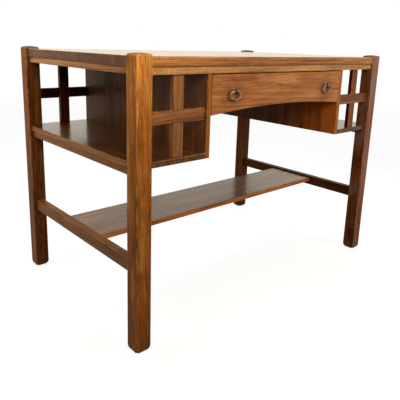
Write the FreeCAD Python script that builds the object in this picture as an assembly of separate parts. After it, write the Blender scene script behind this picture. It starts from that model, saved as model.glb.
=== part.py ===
import FreeCAD, Part
import math
import os

# Library desk of stained oak. Four square posts carry a notched top. An arched
# drawer runs between two partitions, and a book compartment with a cross of
# slats in front and behind stands at each end. Millimetres. The origin is on the
# floor under the middle of the desk, +X to the sitter's right, +Z up, and the
# sitter looks along +Y.

# Overall size, over the posts
WIDTH = 1070.0
DEPTH = 660.0
HEIGHT = 755.0

# Posts: square, with a cushioned crown above the top and rounded feet, which are
# rounder still at their corners
POST = 44.0
POST_ARRIS = 3.0
CROWN_ROUND = 7.0
CROWN_SWELL = 1.5
FOOT_ROUND = 9.0
FOOT_CORNER_ROUND = 16.0

# Top board, notched round the posts
TOP_THICK = 25.0
TOP_DROP = 7.0
TOP_END_SETBACK = 5.5
TOP_FRONT_SETBACK = 3.5
TOP_EASE = 2.0

# Rails under the top
RAIL_HEIGHT = 18.0
LONG_RAIL_SETBACK = 7.0
LONG_RAIL_THICK = 22.0
END_RAIL_SETBACK = 11.0
END_RAIL_THICK = 20.0
RAIL_EASE = 1.2

# Tenons that the posts take
TENON_THICK = 8.0
TENON_LENGTH = 15.0
TENON_SHOULDER = 3.0

# Partitions beside the drawer
KNEE_WIDTH = 594.0
PARTITION_THICK = 16.0
PARTITION_SETBACK = 10.0
PARTITION_EASE = 1.5

# Book compartments: shelf, the rail under its end, and the crossed slats
SHELF_LEVEL = 500.0
SHELF_THICK = 16.0
SHELF_END_SETBACK = 7.0
SHELF_FRONT_SETBACK = 8.0
SHELF_EASE = 1.5
SHELF_RAIL_HEIGHT = 20.0
SHELF_RAIL_THICK = 20.0
SHELF_RAIL_SETBACK = 11.0
TONGUE_LENGTH = 8.0
TONGUE_THICK = 7.0
TONGUE_WIDTH = 70.0
TONGUE_COUNT = 3
SLAT_WIDTH = 33.0
SLAT_THICK = 14.0
SLAT_SETBACK = 15.0
SLAT_EASE = 1.2
SLAT_TENON = 6.0
SLAT_TENON_THICK = 6.0
SLAT_SHOULDER = 4.0

# Back panel between the partitions, arched like the drawer
PANEL_THICK = 18.0
PANEL_SETBACK = 11.0
PANEL_TONGUE = 6.0
PANEL_TONGUE_THICK = 8.0

# Stretchers and the shelf between them
STRETCHER_LEVEL = 246.0
STRETCHER_HEIGHT = 36.0
STRETCHER_THICK = 24.0
STRETCHER_EASE = 1.5
LOW_SHELF_DROP = 6.0
LOW_SHELF_THICK = 16.0
LOW_SHELF_WIDTH = 192.0
LOW_SHELF_HOUSING = 7.0
LOW_SHELF_EASE = 1.5

# Drawer
FRONT_THICK = 20.0
FRONT_HEIGHT = 106.0
FRONT_SIDE_GAP = 1.5
FRONT_TOP_GAP = 3.0
FRONT_EASE = 1.5
ARCH_RISE = 15.0
DRAWER_BACK_ROOM = 81.0
SIDE_THICK = 12.0
SIDE_DROP = 7.0
BACK_THICK = 12.0
BACK_DROP = 12.0
BOTTOM_THICK = 6.0
BOTTOM_LIFT = 6.0
GROOVE_DEPTH = 5.0
FRONT_TAIL_LENGTH = 14.0
FRONT_TAIL_COUNT = 3
BACK_TAIL_COUNT = 2
PIN_WIDTH = 7.0
TAIL_SLOPE_SHARE = 0.14

# What the drawer runs on
RUNNER_WIDTH = 16.0
RUNNER_HEIGHT = 15.0
RUNNER_LIFT = 2.0
RUNNER_FRONT_GAP = 1.0
KICKER_GAP = 1.5
STOP_LENGTH = 20.0
STOP_HEIGHT = 12.0

# Ring pulls: turned rosette, eye on a stud, oval ring of six-sided wire, square nut
PULL_END_ROOM = 81.0
PULL_DROP = 42.5
ROSETTE_RADIUS = 9.5
ROSETTE_RIM = 0.9
ROSETTE_BOSS_RADIUS = 5.0
ROSETTE_BOSS = 2.8
EYE_RADIUS = 4.8
EYE_WIDTH = 5.0
EYE_CHAMFER = 1.3
EYE_HOLE_RADIUS = 3.0
STUD_RADIUS = 2.2
STUD_END = 1.5
RING_WIDTH = 46.0
RING_HEIGHT = 30.5
RING_END_RADIUS = 10.5
RING_WIRE_RADIUS = 2.4
RING_WIRE_SIDES = 6
NUT_ACROSS = 9.0
NUT_THICK = 4.0
NUT_SIDES = 4

# Buttons that hold the top to its rails
BUTTON_LENGTH = 34.0
BUTTON_WIDTH = 26.0
BUTTON_THICK = 12.0
BUTTON_TONGUE = 7.0
BUTTON_TONGUE_THICK = 6.0
BUTTON_CHAMFER = 5.0
BUTTON_RUNNER_ROOM = 41.0

# Fits: glue line, room past a tenon's end, running gap, and overrun of all cuts
GLUE = 0.05
END_ROOM = 1.0
RUN_GAP = 0.3
OVERRUN = 6.0

AXES = "xyz"
FULL_TURN = 360
EIGHTH_TURN = 45


def vec(x, y, z):
    return FreeCAD.Vector(x, y, z)


def around(centre, size):
    """The span of this size about its centre."""
    return (centre - size / 2, centre + size / 2)


def wider(span, by):
    return (span[0] - by, span[1] + by)


def middle(span):
    return (span[0] + span[1]) / 2


# Planes and spans of the quarter at the back right, which the others mirror
POST_X = (WIDTH / 2 - POST, WIDTH / 2)
POST_Y = (DEPTH / 2 - POST, DEPTH / 2)
CROWN_LEVEL = HEIGHT - CROWN_SWELL
TOP_LEVEL = HEIGHT - TOP_DROP
TOP_UNDER = TOP_LEVEL - TOP_THICK
RAIL_UNDER = TOP_UNDER - RAIL_HEIGHT
RAIL_Z = (RAIL_UNDER, TOP_UNDER)
LONG_RAIL_OUT = DEPTH / 2 - LONG_RAIL_SETBACK
LONG_RAIL_Y = (LONG_RAIL_OUT - LONG_RAIL_THICK, LONG_RAIL_OUT)
END_RAIL_OUT = WIDTH / 2 - END_RAIL_SETBACK
END_RAIL_X = (END_RAIL_OUT - END_RAIL_THICK, END_RAIL_OUT)
SHELF_Z = (SHELF_LEVEL - SHELF_THICK, SHELF_LEVEL)
SHELF_RAIL_OUT = WIDTH / 2 - SHELF_RAIL_SETBACK
SHELF_RAIL_X = (SHELF_RAIL_OUT - SHELF_RAIL_THICK, SHELF_RAIL_OUT)
SHELF_RAIL_Z = (SHELF_Z[0] - SHELF_RAIL_HEIGHT, SHELF_Z[0])
PARTITION_X = (KNEE_WIDTH / 2, KNEE_WIDTH / 2 + PARTITION_THICK)
PARTITION_OUT_Y = DEPTH / 2 - PARTITION_SETBACK
SLAT_OUT_Y = DEPTH / 2 - SLAT_SETBACK
SLAT_Y = (SLAT_OUT_Y - SLAT_THICK, SLAT_OUT_Y)
SLAT_TENON_Y = around(middle(SLAT_Y), SLAT_TENON_THICK)
UPRIGHT_X = around((POST_X[0] + PARTITION_X[1]) / 2, SLAT_WIDTH)
CROSS_Z = around((SHELF_LEVEL + RAIL_UNDER) / 2, SLAT_WIDTH)
PANEL_OUT_Y = DEPTH / 2 - PANEL_SETBACK
PANEL_Y = (PANEL_OUT_Y - PANEL_THICK, PANEL_OUT_Y)
STRETCHER_X = around(middle(POST_X), STRETCHER_THICK)
STRETCHER_Z = (STRETCHER_LEVEL - STRETCHER_HEIGHT, STRETCHER_LEVEL)
LOW_SHELF_LEVEL = STRETCHER_LEVEL - LOW_SHELF_DROP
LOW_SHELF_Y = around(0, LOW_SHELF_WIDTH)
LOW_SHELF_Z = (LOW_SHELF_LEVEL - LOW_SHELF_THICK, LOW_SHELF_LEVEL)

# Planes and spans of the drawer, shut
FACE_Y = -PARTITION_OUT_Y
FRONT_Y = (FACE_Y, FACE_Y + FRONT_THICK)
FRONT_TOP = RAIL_UNDER - FRONT_TOP_GAP
FRONT_UNDER = FRONT_TOP - FRONT_HEIGHT
RUNNER_TOP = FRONT_UNDER + ARCH_RISE + RUNNER_LIFT
RUNNER_X = (PARTITION_X[0] - RUNNER_WIDTH, PARTITION_X[0])
BUTTON_SPACING = RUNNER_X[0] - BUTTON_RUNNER_ROOM
DRAWER_OUT_X = PARTITION_X[0] - FRONT_SIDE_GAP
DRAWER_END = PANEL_Y[0] - DRAWER_BACK_ROOM
SIDE_X = (DRAWER_OUT_X - SIDE_THICK, DRAWER_OUT_X)
SIDE_Y = (FRONT_Y[1], DRAWER_END)
SIDE_Z = (RUNNER_TOP + RUN_GAP, FRONT_TOP - SIDE_DROP)
BOTTOM_Z = (SIDE_Z[0] + BOTTOM_LIFT, SIDE_Z[0] + BOTTOM_LIFT + BOTTOM_THICK)
BACK_Y = (DRAWER_END - BACK_THICK, DRAWER_END)
BACK_Z = (BOTTOM_Z[1] + GLUE, SIDE_Z[1] - BACK_DROP)
KICKER_Z = (SIDE_Z[1] + KICKER_GAP, TOP_UNDER)
PULL_X = DRAWER_OUT_X - PULL_END_ROOM
PULL_Z = FRONT_TOP - PULL_DROP
EYE_Y = FACE_Y - ROSETTE_BOSS - EYE_RADIUS


# Solids from spans, outlines and mirrors


def block(x, y, z):
    """A box over a span of each axis."""
    return Part.makeBox(x[1] - x[0], y[1] - y[0], z[1] - z[0], vec(x[0], y[0], z[0]))


def in_plane(axis, u, v, w=0):
    """The point (u, v) of a section that stands w along its axis."""
    return {"x": vec(w, u, v), "y": vec(u, w, v), "z": vec(u, v, w)}[axis]


def line(axis, a, b):
    return Part.LineSegment(in_plane(axis, *a), in_plane(axis, *b)).toShape()


def arc(axis, a, mid, b):
    return Part.Arc(in_plane(axis, *a), in_plane(axis, *mid), in_plane(axis, *b)).toShape()


def prism(axis, edges, span):
    """The section that the edges close, pushed along its axis over the span."""
    face = Part.Face(Part.Wire(edges))
    face.translate(in_plane(axis, 0, 0, span[0]))
    return face.extrude(in_plane(axis, 0, 0, span[1] - span[0]))


def polygon(axis, points, span):
    ends = points[1:] + points[:1]
    return prism(axis, [line(axis, a, b) for a, b in zip(points, ends)], span)


def arrises(shape, axis):
    """The straight edges of a block that run along the axis."""
    along = in_plane(axis, 0, 0, 1)
    return [e for e in shape.Edges if round(abs(e.tangentAt(e.FirstParameter).dot(along)))]


def eased(x, y, z, axis, ease):
    """A bar over three spans with its long arrises taken off."""
    bar = block(x, y, z)
    return bar.makeChamfer(ease, arrises(bar, axis))


def rod(start, end, radius):
    along = end.sub(start)
    return Part.makeCylinder(radius, along.Length, start, along)


def fused(shapes):
    return shapes[0].multiFuse(shapes[1:]).removeSplitter()


def cut(shape, tools):
    return shape.cut(Part.makeCompound(tools)) if tools else shape


def mirror_x(shape):
    return shape.mirror(vec(0, 0, 0), vec(1, 0, 0))


def mirror_y(shape):
    return shape.mirror(vec(0, 0, 0), vec(0, 1, 0))


def both(mirror, shapes):
    return shapes + [mirror(shape) for shape in shapes]


# Mortise and tenon: a tenon is three spans, and its mortise is wider by the glue
# line, deeper by the end room, and open past the shoulder


def mortise(tenon, axis, way=1):
    spans = [wider(span, GLUE) for span in tenon]
    order = AXES.index(axis)
    low, high = tenon[order]
    spans[order] = (low - OVERRUN, high + END_ROOM) if way > 0 else (low - END_ROOM, high + OVERRUN)
    return block(*spans)


POST_TENON_Y = (POST_Y[0], POST_Y[0] + TENON_LENGTH)
RAIL_TENON_Z = wider(RAIL_Z, -TENON_SHOULDER)
LONG_RAIL_TENON = (
    (POST_X[0], POST_X[0] + TENON_LENGTH),
    around(middle(LONG_RAIL_Y), TENON_THICK),
    RAIL_TENON_Z,
)
END_RAIL_TENON = (around(middle(END_RAIL_X), TENON_THICK), POST_TENON_Y, RAIL_TENON_Z)
SHELF_RAIL_TENON = (
    around(middle(SHELF_RAIL_X), TENON_THICK),
    POST_TENON_Y,
    wider(SHELF_RAIL_Z, -TENON_SHOULDER),
)
STRETCHER_TENON = (
    around(middle(STRETCHER_X), TENON_THICK),
    POST_TENON_Y,
    wider(STRETCHER_Z, -TENON_SHOULDER),
)
CROSS_TENON_Z = wider(CROSS_Z, -SLAT_SHOULDER)
CROSS_TENON_OUT = ((POST_X[0], POST_X[0] + SLAT_TENON), SLAT_TENON_Y, CROSS_TENON_Z)
CROSS_TENON_IN = ((PARTITION_X[1] - SLAT_TENON, PARTITION_X[1]), SLAT_TENON_Y, CROSS_TENON_Z)
UPRIGHT_TENON_X = wider(UPRIGHT_X, -SLAT_SHOULDER)
UPRIGHT_TENON_TOP = (UPRIGHT_TENON_X, SLAT_TENON_Y, (RAIL_UNDER, RAIL_UNDER + SLAT_TENON))
UPRIGHT_TENON_LOW = (UPRIGHT_TENON_X, SLAT_TENON_Y, (SHELF_LEVEL - SLAT_TENON, SHELF_LEVEL))
PANEL_TENON = (
    (PARTITION_X[0], PARTITION_X[0] + PANEL_TONGUE),
    around(middle(PANEL_Y), PANEL_TONGUE_THICK),
    wider((FRONT_UNDER, RAIL_UNDER), -SLAT_SHOULDER),
)


def shelf_tongues():
    """The tongues at the shelf's inner end, spread over the depth."""
    pitch = 2 * POST_Y[0] / TONGUE_COUNT
    return [
        (
            (PARTITION_X[1] - TONGUE_LENGTH, PARTITION_X[1]),
            around((k - (TONGUE_COUNT - 1) / 2) * pitch, TONGUE_WIDTH),
            around(middle(SHELF_Z), TONGUE_THICK),
        )
        for k in range(TONGUE_COUNT)
    ]


# Posts


def quarter(axis, corner, radius, across, up, rises):
    """The quarter round that takes a corner off, drawn up from the side or down to it."""
    beside = (corner[0], corner[1] + up * radius)
    level = (corner[0] + across * radius, corner[1])
    mid = radius * (1 - math.sqrt(1 / 2))
    ends = (beside, level) if rises else (level, beside)
    return arc(axis, ends[0], (corner[0] + across * mid, corner[1] + up * mid), ends[1])


def post_outline(axis, span, push):
    """The post seen along one axis, a flat foot and a crown like a cushion."""
    low, high = span
    top = CROWN_LEVEL
    return prism(axis, [
        line(axis, (low + FOOT_ROUND, 0), (high - FOOT_ROUND, 0)),
        quarter(axis, (high, 0), FOOT_ROUND, -1, 1, False),
        line(axis, (high, FOOT_ROUND), (high, top - CROWN_ROUND)),
        quarter(axis, (high, top), CROWN_ROUND, -1, -1, True),
        arc(axis, (high - CROWN_ROUND, top), (middle(span), HEIGHT), (low + CROWN_ROUND, top)),
        quarter(axis, (low, top), CROWN_ROUND, 1, -1, False),
        line(axis, (low, top - CROWN_ROUND), (low, FOOT_ROUND)),
        quarter(axis, (low, 0), FOOT_ROUND, 1, 1, True),
    ], wider(push, OVERRUN))


def corner_outline(turn):
    """The foot's outline on the post's diagonal, turned to round two corners."""
    half = POST * math.sqrt(1 / 2) - POST_ARRIS * (math.sqrt(2) - 1)
    low, high = (-half, half)
    outline = prism("y", [
        line("y", (low + FOOT_CORNER_ROUND, 0), (high - FOOT_CORNER_ROUND, 0)),
        quarter("y", (high, 0), FOOT_CORNER_ROUND, -1, 1, False),
        line("y", (high, FOOT_CORNER_ROUND), (high, HEIGHT)),
        line("y", (high, HEIGHT), (low, HEIGHT)),
        line("y", (low, HEIGHT), (low, FOOT_CORNER_ROUND)),
        quarter("y", (low, 0), FOOT_CORNER_ROUND, 1, 1, True),
    ], wider((low, high), OVERRUN))
    outline.rotate(vec(0, 0, 0), vec(0, 0, 1), turn)
    outline.translate(vec(middle(POST_X), middle(POST_Y), 0))
    return outline


def post():
    bar = block(POST_X, POST_Y, (0, HEIGHT))
    bar = bar.makeFillet(POST_ARRIS, arrises(bar, "z"))
    for outline in (
        post_outline("x", POST_Y, POST_X),
        post_outline("y", POST_X, POST_Y),
        corner_outline(EIGHTH_TURN),
        corner_outline(-EIGHTH_TURN),
    ):
        bar = bar.common(outline)
    return cut(bar, [
        mortise(LONG_RAIL_TENON, "x"),
        mortise(END_RAIL_TENON, "y"),
        mortise(SHELF_RAIL_TENON, "y"),
        mortise(STRETCHER_TENON, "y"),
        mortise(CROSS_TENON_OUT, "x"),
    ])


# Boards that are notched round the posts


def notched_board(x_out, y_out, z):
    """A board over the whole plan, cut out at its corners, and its outer edges."""
    x_in, y_in = POST_X[0] - GLUE, POST_Y[0] - GLUE
    corner = [(x_in, y_out), (x_in, y_in), (x_out, y_in)]
    outline = corner + [(x, -y) for x, y in reversed(corner)]
    outline += [(-x, -y) for x, y in corner] + [(-x, y) for x, y in reversed(corner)]
    board = polygon("z", outline, z)
    rims = []
    for edge in board.Edges:
        box = edge.BoundBox
        on_end = box.XLength < GLUE and max(box.XMax, -box.XMin) > x_out - GLUE
        on_front = box.YLength < GLUE and max(box.YMax, -box.YMin) > y_out - GLUE
        if box.ZLength < GLUE and (on_end or on_front):
            rims.append(edge)
    return board, rims


def top_board():
    board, rims = notched_board(WIDTH / 2 - TOP_END_SETBACK, DEPTH / 2 - TOP_FRONT_SETBACK,
                                (TOP_UNDER, TOP_LEVEL))
    return board.makeFillet(TOP_EASE, rims)


def book_shelf():
    plan, rims = notched_board(WIDTH / 2 - SHELF_END_SETBACK, DEPTH / 2 - SHELF_FRONT_SETBACK,
                               SHELF_Z)
    plan = plan.makeChamfer(SHELF_EASE, rims)
    keep = block((PARTITION_X[1], WIDTH / 2), around(0, DEPTH), wider(SHELF_Z, OVERRUN))
    board = fused([plan.common(keep)] + [block(*tongue) for tongue in shelf_tongues()])
    return cut(board, both(mirror_y, [mortise(UPRIGHT_TENON_LOW, "z", -1)]))


# Rails, stretchers and the low shelf


def long_rail(slots):
    bar = eased(around(0, 2 * POST_X[0]), LONG_RAIL_Y, RAIL_Z, "x", RAIL_EASE)
    bar = fused([bar] + both(mirror_x, [block(*LONG_RAIL_TENON)]))
    return cut(bar, both(mirror_x, [mortise(UPRIGHT_TENON_TOP, "z")]) + slots)


def end_bar(x, z, ease, tenon, cuts):
    """A bar between the back and front posts of one end."""
    bar = eased(x, around(0, 2 * POST_Y[0]), z, "y", ease)
    return cut(fused([bar] + both(mirror_y, [block(*tenon)])), cuts)


def stretcher():
    housing = block((STRETCHER_X[0] - OVERRUN, STRETCHER_X[0] + LOW_SHELF_HOUSING + END_ROOM),
                    wider(LOW_SHELF_Y, GLUE), wider(LOW_SHELF_Z, GLUE))
    return end_bar(STRETCHER_X, STRETCHER_Z, STRETCHER_EASE, STRETCHER_TENON, [housing])


def low_shelf():
    reach = STRETCHER_X[0] + LOW_SHELF_HOUSING
    return eased((-reach, reach), LOW_SHELF_Y, LOW_SHELF_Z, "x", LOW_SHELF_EASE)


# Buttons: each hooks into a slot in a rail and lets the wide top shrink and swell


def button(rail_face, across, axis):
    """A button on the back or the right end rail, and the slot that it hooks into."""
    body = (rail_face - BUTTON_LENGTH, rail_face)
    hook = (rail_face, rail_face + BUTTON_TONGUE)
    side = around(across, BUTTON_WIDTH)
    body_z = (TOP_UNDER - BUTTON_THICK, TOP_UNDER)
    hook_z = (body_z[0], body_z[0] + BUTTON_TONGUE_THICK)
    tongue = (hook, side, hook_z) if axis == "x" else (side, hook, hook_z)
    wood = block(body, side, body_z) if axis == "x" else block(side, body, body_z)
    nose = [e for e in wood.Edges
            if e.BoundBox.ZMax < body_z[0] + GLUE
            and getattr(e.BoundBox, f"{axis.upper()}Max") < body[0] + GLUE]
    wood = wood.makeChamfer(BUTTON_CHAMFER, nose)
    return fused([wood, block(*tongue)]), mortise(tongue, axis)


# Partitions and what the drawer runs on


def partition():
    board = eased(PARTITION_X, around(0, 2 * PARTITION_OUT_Y), (SHELF_Z[0], TOP_UNDER), "z",
                  PARTITION_EASE)
    rail_notch = block(wider(PARTITION_X, OVERRUN),
                       (LONG_RAIL_Y[0] - GLUE, PARTITION_OUT_Y + OVERRUN),
                       (RAIL_UNDER, TOP_UNDER + OVERRUN))
    tools = both(mirror_y, [rail_notch, mortise(CROSS_TENON_IN, "x", -1)])
    tools += [mortise(tongue, "x", -1) for tongue in shelf_tongues()]
    return cut(board, tools + [mortise(PANEL_TENON, "x")])


def runner():
    y = (FRONT_Y[1] + RUNNER_FRONT_GAP, PANEL_Y[0])
    return block(RUNNER_X, y, (RUNNER_TOP - RUNNER_HEIGHT, RUNNER_TOP))


def kicker():
    y = (FRONT_Y[1] + RUNNER_FRONT_GAP, min(LONG_RAIL_Y[0], PANEL_Y[0]))
    return block(RUNNER_X, y, KICKER_Z)


def drawer_stop():
    start = DRAWER_END + RUN_GAP
    return block(RUNNER_X, (start, start + STOP_LENGTH), (RUNNER_TOP, RUNNER_TOP + STOP_HEIGHT))


# Slats, halved where they cross


def upright_slat():
    bar = eased(UPRIGHT_X, SLAT_Y, (SHELF_LEVEL, RAIL_UNDER), "z", SLAT_EASE)
    half = block(wider(UPRIGHT_X, OVERRUN), (middle(SLAT_Y), SLAT_OUT_Y + OVERRUN),
                 wider(CROSS_Z, GLUE))
    return cut(fused([bar, block(*UPRIGHT_TENON_TOP), block(*UPRIGHT_TENON_LOW)]), [half])


def cross_slat():
    bar = eased((PARTITION_X[1], POST_X[0]), SLAT_Y, CROSS_Z, "x", SLAT_EASE)
    half = block(wider(UPRIGHT_X, GLUE), (SLAT_Y[0] - OVERRUN, middle(SLAT_Y)),
                 wider(CROSS_Z, OVERRUN))
    return cut(fused([bar, block(*CROSS_TENON_OUT), block(*CROSS_TENON_IN)]), [half])


# Arched boards: the fixed back panel and the drawer's front


def arched_board(x_out, y, top):
    """A board with a flat top and a lower edge that rises in a low arc."""
    left, right = (-x_out, FRONT_UNDER), (x_out, FRONT_UNDER)
    return prism("y", [
        line("y", left, (-x_out, top)),
        line("y", (-x_out, top), (x_out, top)),
        line("y", (x_out, top), right),
        arc("y", right, (0, FRONT_UNDER + ARCH_RISE), left),
    ], y)


def back_panel():
    board = arched_board(PARTITION_X[0], PANEL_Y, RAIL_UNDER)
    return fused([board] + both(mirror_x, [block(*PANEL_TENON)]))


# Drawer: half-blind dovetails at the front, through dovetails at the back


def tail(base, end, z, grow=0):
    """One dovetail of the side, widest at its end, with a root beyond its base."""
    spread = TAIL_SLOPE_SHARE * abs(end - base) / 2
    narrow, broad = wider(z, grow - spread), wider(z, grow + spread)
    root = base + math.copysign(GROOVE_DEPTH, base - end)
    outline = [
        (root, narrow[0]), (base, narrow[0]), (end, broad[0]),
        (end, broad[1]), (base, narrow[1]), (root, narrow[1]),
    ]
    return polygon("x", outline, SIDE_X)


def tail_spans(z, count):
    """The mean heights of the tails, with half a pin outside the outer two."""
    pitch = (z[1] - z[0]) / count
    return [wider((z[0] + k * pitch, z[0] + (k + 1) * pitch), -PIN_WIDTH / 2)
            for k in range(count)]


def front_tails(grow=0):
    end = FRONT_Y[1] - FRONT_TAIL_LENGTH - grow
    return [tail(FRONT_Y[1], end, z, grow) for z in tail_spans(SIDE_Z, FRONT_TAIL_COUNT)]


def back_tails(grow=0):
    return [tail(BACK_Y[0], BACK_Y[1] + grow, z, grow)
            for z in tail_spans(BACK_Z, BACK_TAIL_COUNT)]


def drawer_side():
    pins = cut(block(SIDE_X, (BACK_Y[0] - GLUE, BACK_Y[1] + OVERRUN), wider(BACK_Z, GLUE)),
               back_tails(GLUE))
    pins = cut(pins, back_tails())
    groove = block((SIDE_X[0] - OVERRUN, SIDE_X[0] + GROOVE_DEPTH),
                   wider(SIDE_Y, OVERRUN), wider(BOTTOM_Z, GLUE))
    return cut(fused([block(SIDE_X, SIDE_Y, SIDE_Z)] + front_tails()), [pins, groove])


def drawer_front(holes):
    board = arched_board(DRAWER_OUT_X, FRONT_Y, FRONT_TOP)
    face = [e for e in board.Edges if e.BoundBox.YMax < FACE_Y + GLUE]
    board = board.makeChamfer(FRONT_EASE, face)
    reach = SIDE_X[0] + GROOVE_DEPTH
    groove = block((-reach, reach),
                   (FRONT_Y[1] - GROOVE_DEPTH - END_ROOM, FRONT_Y[1] + OVERRUN),
                   wider(BOTTOM_Z, GLUE))
    return cut(board, both(mirror_x, front_tails(GLUE)) + [groove] + holes)


def drawer_back():
    board = block((-SIDE_X[0], SIDE_X[0]), BACK_Y, BACK_Z)
    pins = cut(block(SIDE_X, BACK_Y, BACK_Z), back_tails(GLUE)).Solids
    return fused([board] + both(mirror_x, pins))


def drawer_bottom():
    reach = SIDE_X[0] + GROOVE_DEPTH - GLUE
    y = (FRONT_Y[1] - GROOVE_DEPTH, DRAWER_END - END_ROOM)
    return block((-reach, reach), y, BOTTOM_Z)


# Ring pulls, drawn for the right-hand one


def stud(y, radius):
    """A round along the pull's stud, between two depths."""
    return rod(vec(PULL_X, y[0], PULL_Z), vec(PULL_X, y[1], PULL_Z), radius)


def turned(profile, centre, axis):
    """A closed profile turned a whole round about the axis through the centre."""
    return Part.Face(Part.makePolygon(profile + profile[:1])).revolve(centre, axis, FULL_TURN)


def rosette():
    """A disc with a sloping face and a flat boss, bored for the stud."""
    profile = [
        (STUD_RADIUS + GLUE, 0),
        (ROSETTE_RADIUS, 0),
        (ROSETTE_RADIUS, ROSETTE_RIM),
        (ROSETTE_BOSS_RADIUS, ROSETTE_BOSS),
        (STUD_RADIUS + GLUE, ROSETTE_BOSS),
    ]
    points = [vec(PULL_X + radius, FACE_Y - height, PULL_Z) for radius, height in profile]
    return turned(points, vec(PULL_X, 0, PULL_Z), vec(0, 1, 0))


def pull_eye():
    """A chamfered bead with a hole for the ring, on a long stud."""
    cheek = EYE_WIDTH / 2
    profile = [
        (-cheek, EYE_HOLE_RADIUS),
        (-cheek, EYE_RADIUS - EYE_CHAMFER),
        (EYE_CHAMFER - cheek, EYE_RADIUS),
        (cheek - EYE_CHAMFER, EYE_RADIUS),
        (cheek, EYE_RADIUS - EYE_CHAMFER),
        (cheek, EYE_HOLE_RADIUS),
    ]
    points = [vec(PULL_X + x, EYE_Y, PULL_Z + radius) for x, radius in profile]
    bead = turned(points, vec(0, EYE_Y, PULL_Z), vec(1, 0, 0))
    root = EYE_Y + (EYE_HOLE_RADIUS + EYE_RADIUS) / 2
    end = FRONT_Y[1] + NUT_THICK + STUD_END
    shank = stud((root, end), STUD_RADIUS)
    bore = rod(vec(PULL_X - cheek, EYE_Y, PULL_Z), vec(PULL_X + cheek, EYE_Y, PULL_Z),
               EYE_HOLE_RADIUS)
    return fused([bead, shank.cut(bore)])


def bent_wire(centre, radius, start, sweep):
    """A stretch of the ring's wire, bent about a centre in the plane of the face."""
    turns = [math.pi * (2 * k + 1) / RING_WIRE_SIDES for k in range(RING_WIRE_SIDES)]
    section = []
    for turn in turns:
        out = radius + RING_WIRE_RADIUS * math.cos(turn)
        section.append(centre.add(vec(out * math.cos(start),
                                      RING_WIRE_RADIUS * math.sin(turn),
                                      out * math.sin(start))))
    face = Part.Face(Part.makePolygon(section + section[:1]))
    return face.revolve(centre, vec(0, -1, 0), math.degrees(sweep))


def pull_ring():
    """An oval of four arcs that hangs from the middle of its top."""
    across = RING_WIDTH / 2 - RING_WIRE_RADIUS
    tall = RING_HEIGHT / 2 - RING_WIRE_RADIUS
    reach = across - RING_END_RADIUS
    flat = (reach ** 2 + tall ** 2 - RING_END_RADIUS ** 2) / (2 * (tall - RING_END_RADIUS))
    turn = math.atan2(flat - tall, reach)
    middle_z = PULL_Z - tall
    right = vec(PULL_X + reach, EYE_Y, middle_z)
    left = vec(PULL_X - reach, EYE_Y, middle_z)
    over = vec(PULL_X, EYE_Y, middle_z - flat + tall)
    under = vec(PULL_X, EYE_Y, middle_z + flat - tall)
    top = math.pi - 2 * turn
    return fused([
        bent_wire(right, RING_END_RADIUS, -turn, 2 * turn),
        bent_wire(over, flat, turn, top),
        bent_wire(left, RING_END_RADIUS, math.pi - turn, 2 * turn),
        bent_wire(under, flat, math.pi + turn, top),
    ])


def nut():
    """A square nut, its sides level and upright."""
    y = (FRONT_Y[1], FRONT_Y[1] + NUT_THICK)
    radius = NUT_ACROSS / 2 / math.cos(math.pi / NUT_SIDES)
    turns = [math.pi * (2 * k + 1) / NUT_SIDES for k in range(NUT_SIDES)]
    corners = [(PULL_X + radius * math.cos(t), PULL_Z + radius * math.sin(t)) for t in turns]
    return cut(polygon("y", corners, y), [stud(wider(y, OVERRUN), STUD_RADIUS + GLUE)])


# Files, one for each piece or group of like pieces


def save(name, shapes):
    solids = [solid for shape in shapes for solid in shape.Solids]
    for solid in solids:
        if not solid.isValid() or solid.Volume <= 0:
            raise ValueError(f"{name} has a broken solid")
    shape = solids[0] if len(solids) == 1 else Part.makeCompound(solids)
    shape.exportStep(f"parts/{name}.step")
    print(f"{name}: {len(solids)} solid(s)")


def save_pair(name, shape):
    save(f"{name}_right", [shape])
    save(f"{name}_left", [mirror_x(shape)])


def save_four(name, shape):
    save_pair(f"{name}_back", shape)
    save_pair(f"{name}_front", mirror_y(shape))


def build_top():
    back = [button(LONG_RAIL_Y[0], x, "y") for x in (-BUTTON_SPACING, 0, BUTTON_SPACING)]
    end = [button(END_RAIL_X[0], 0, "x")]
    save("top_board", [top_board()])
    save("top_buttons", both(mirror_y, [wood for wood, _ in back])
         + both(mirror_x, [wood for wood, _ in end]))
    rail = long_rail([slot for _, slot in back])
    save("top_rail_back", [rail])
    save("top_rail_front", [mirror_y(rail)])
    slots = [slot for _, slot in end]
    save_pair("top_rail", end_bar(END_RAIL_X, RAIL_Z, RAIL_EASE, END_RAIL_TENON, slots))


def build_compartments():
    save_pair("book_shelf", book_shelf())
    save_pair("shelf_rail", end_bar(SHELF_RAIL_X, SHELF_RAIL_Z, RAIL_EASE, SHELF_RAIL_TENON, []))
    save_four("upright_slat", upright_slat())
    save_four("cross_slat", cross_slat())


def build_drawer_bay():
    save_pair("partition", partition())
    save_pair("drawer_runner", runner())
    save_pair("drawer_kicker", kicker())
    save_pair("drawer_stop", drawer_stop())
    save("back_panel", [back_panel()])


def build_drawer():
    stud_hole = stud(wider(FRONT_Y, OVERRUN), STUD_RADIUS + GLUE)
    save("drawer_front", [drawer_front(both(mirror_x, [stud_hole]))])
    save_pair("drawer_side", drawer_side())
    save("drawer_back", [drawer_back()])
    save("drawer_bottom", [drawer_bottom()])
    save("pull_rosettes", both(mirror_x, [rosette()]))
    save_pair("pull_eye", pull_eye())
    save_pair("pull_ring", pull_ring())
    save("pull_nuts", both(mirror_x, [nut()]))


def build():
    os.makedirs("parts", exist_ok=True)
    save_four("post", post())
    build_top()
    build_compartments()
    build_drawer_bay()
    build_drawer()
    save_pair("stretcher", stretcher())
    save("low_shelf", [low_shelf()])


build()
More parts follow.
